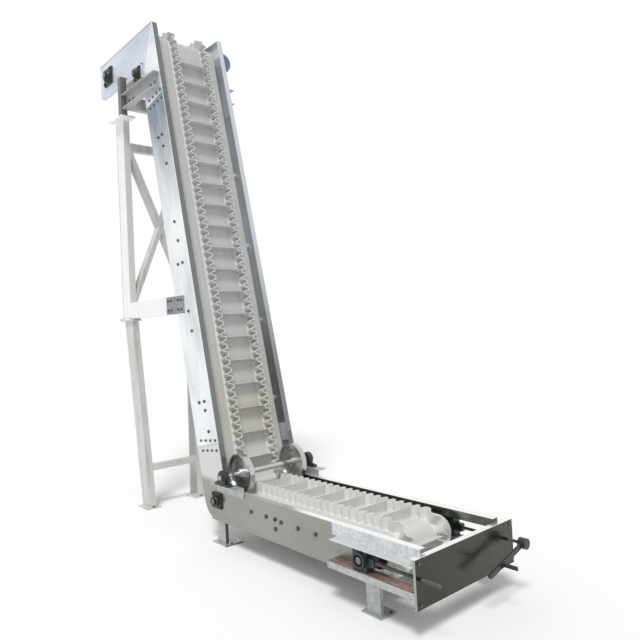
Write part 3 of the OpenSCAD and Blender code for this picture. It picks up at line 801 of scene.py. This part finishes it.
seams = bmesh.new()
for side in (-1, 1):
    for up_along in (0.8179, 3.9064):
        (x0, z0), (x1, z1) = riser_spot(0.002, up_along), riser_spot(0.322, up_along)
        bead(seams, (x0, side * (HALF - 0.0003), z0), (x1, side * (HALF - 0.0003), z1), 0.0013)
keep(seams, "plate_seams", "frame", seam_dark)

welds = bmesh.new()
for side in (-1, 1):
    for x in (post[0].x + 0.031, post[0].x + 0.189):
        bead(welds, (x, side * 0.374, 1.842), (x, side * 0.311, 1.842), 0.003, 14)
    bead(welds, (post[0].x + 0.032, side * 0.376, 1.841), (post[0].x + 0.188, side * 0.376, 1.841), 0.003, 34)
    bead(welds, (leg[0].x + 0.02, side * 0.376, 1.815), (leg[0].x + 0.17, side * 0.376, 1.815), 0.003, 34)
    bead(welds, (beam[0].x, side * 0.376, 4.0095), (beam[1].x, side * 0.376, 4.0095), 0.0025, 120)
keep(welds, "frame_welds", "frame", paint_leg)

# %% [markdown]
# ## The drive
# A bevel gear unit and a motor hang on the far end of the head shaft. The motor's body has cooling
# fins, a fan cowl with a grille of rings, and a terminal box with a lid. The fins are one thin
# block, copied round the axis.

# %% Motor
motor_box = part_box("motor")
my, mz, mx = 0.483, 4.383, motor_box[0].x
motor = bmesh.new()
shell = [(0.0, 0.0), (0.096, 0.0), (0.098, 0.002), (0.098, 0.014), (0.096, 0.016), (0.074, 0.020),
         (0.074, 0.445), (0.0, 0.445)]
turned(motor, shell, (mx, my, mz), "x", 48)
for i in range(40):
    angle = 2 * pi * i / 40
    turn = Matrix.Rotation(angle, 3, "X")
    box(motor, (0.400, 0.003, 0.013), Vector((mx + 0.235, my, mz)) + turn @ Vector((0, 0, 0.0775)), turn)
cowl = [(0.088, 0.430), (0.097, 0.434), (0.0978, 0.440), (0.0978, 0.575), (0.094, 0.588), (0.086, 0.5945),
        (0.078, 0.5945)]
for r in (0.074, 0.062, 0.050, 0.038, 0.026):
    cowl += [(r, 0.5895), (r - 0.004, 0.5895), (r - 0.004, 0.5945), (r - 0.010, 0.5945)]
cowl += [(0.0, 0.5945)]
turned(motor, cowl, (mx, my, mz), "x", 48)
box(motor, (0.118, 0.104, 0.045), (mx + 0.150, my, mz + 0.0945), edge=0.006, steps=3)
box(motor, (0.120, 0.109, 0.012), (mx + 0.150, my, mz + 0.1155), edge=0.003)
for i in (-1, 1):
    for j in (-1, 1):
        hex_bolt(motor, (mx - 0.0002, my + i * 0.062, mz + j * 0.062), (-1, 0, 0), 0.008)
keep(motor, "finned_motor", "frame", drive_enamel, ["motor"])

# %% Gear unit
gear = bmesh.new()
gx, gz = drum_mid
box(gear, (0.258, 0.148, 0.268), (gx, HALF + 0.081, gz + 0.010), edge=0.018, steps=4)
collar = [(0.0285, 0.0), (0.055, 0.0), (0.055, 0.010), (0.0285, 0.010), (0.0285, 0.0)]
turned(gear, collar, (gx, HALF, gz), "y", 40)
lid = [(0.030, 0.140), (0.082, 0.140), (0.082, 0.1515), (0.076, 0.1545), (0.030, 0.1545), (0.030, 0.140)]
turned(gear, lid, (gx, HALF, gz), "y", 48)
neck = [(0.0, 0.120), (0.099, 0.120), (0.099, 0.142), (0.086, 0.146), (0.080, 0.200), (0.086, 0.234),
        (0.088, 0.239), (0.0, 0.239)]
turned(gear, neck, (gx, my, mz), "x", 48)
for i in range(8):
    a = 2 * pi * i / 8
    hex_bolt(gear, (gx + 0.066 * cos(a), HALF + 0.1505, gz + 0.066 * sin(a)), (0, 1, 0), 0.0055, washer=False)
for x in (-0.07, 0.0, 0.07):
    box(gear, (0.010, 0.110, 0.004), (gx + x, HALF + 0.081, gz + 0.1425), edge=0.0015)
keep(gear, "gear_housing", "frame", drive_enamel, ["gear_unit"])

# %% [markdown]
# ## Light and floor
# Product photos of machines are cut out on white. The world is white to the camera and to shiny
# surfaces, and dimmer for the soft light it gives. One broad sun from above and in front of the
# belt gives the planes their different tones, lets each cleat shade the belt under it, and the
# floor keeps a faint shadow.

# %% World, sun and floor
world = bpy.data.worlds.new("studio")
bpy.context.scene.world = world
world.use_nodes = True
tree = world.node_tree
tree.nodes.clear()
path = tree.nodes.new("ShaderNodeLightPath")
seen = tree.nodes.new("ShaderNodeMath")
seen.operation = "MAXIMUM"
clear = tree.nodes.new("ShaderNodeMath")
clear.operation = "MAXIMUM"
tree.links.new(path.outputs["Is Camera Ray"], seen.inputs[0])
tree.links.new(path.outputs["Is Glossy Ray"], seen.inputs[1])
tree.links.new(seen.outputs[0], clear.inputs[0])
tree.links.new(path.outputs["Is Transmission Ray"], clear.inputs[1])
dim, bright = tree.nodes.new("ShaderNodeBackground"), tree.nodes.new("ShaderNodeBackground")
dim.inputs["Strength"].default_value = 0.52
dim.inputs["Color"].default_value = (0.97, 0.98, 1.0, 1.0)
bright.inputs["Color"].default_value = (1.0, 1.0, 1.0, 1.0)
either = tree.nodes.new("ShaderNodeMixShader")
out = tree.nodes.new("ShaderNodeOutputWorld")
tree.links.new(clear.outputs[0], either.inputs[0])
tree.links.new(dim.outputs[0], either.inputs[1])
tree.links.new(bright.outputs[0], either.inputs[2])
tree.links.new(either.outputs[0], out.inputs["Surface"])

sun_data = bpy.data.lights.new("sun", "SUN")
sun_data.energy, sun_data.angle = 1.9, radians(16)
sun = bpy.data.objects.new("sun", sun_data)
sun.rotation_euler = Vector((0.34, -0.42, 0.84)).to_track_quat("Z", "Y").to_euler()
bpy.context.scene.collection.objects.link(sun)

floor_finish = Finish("studio floor", roughness=0.9, Specular_IOR_Level=0.0)
floor_tone = floor_finish.noise(floor_finish.place(), 1.5, 2.0)
floor_finish.finish(floor_finish.mix(floor_tone * 0.02, (0.98, 0.98, 0.98, 1.0), (0.96, 0.96, 0.96, 1.0)))
ground = bmesh.new()
bmesh.ops.create_grid(ground, x_segments=2, y_segments=2, size=60.0)
ground_mesh = bpy.data.meshes.new("floor")
ground.to_mesh(ground_mesh)
ground.free()
ground_mesh.materials.append(floor_finish.material)
floor = bpy.data.objects.new("floor", ground_mesh)
bpy.context.scene.collection.objects.link(floor)
bpy.context.scene.view_settings.view_transform = "Standard"
print("light and floor made")
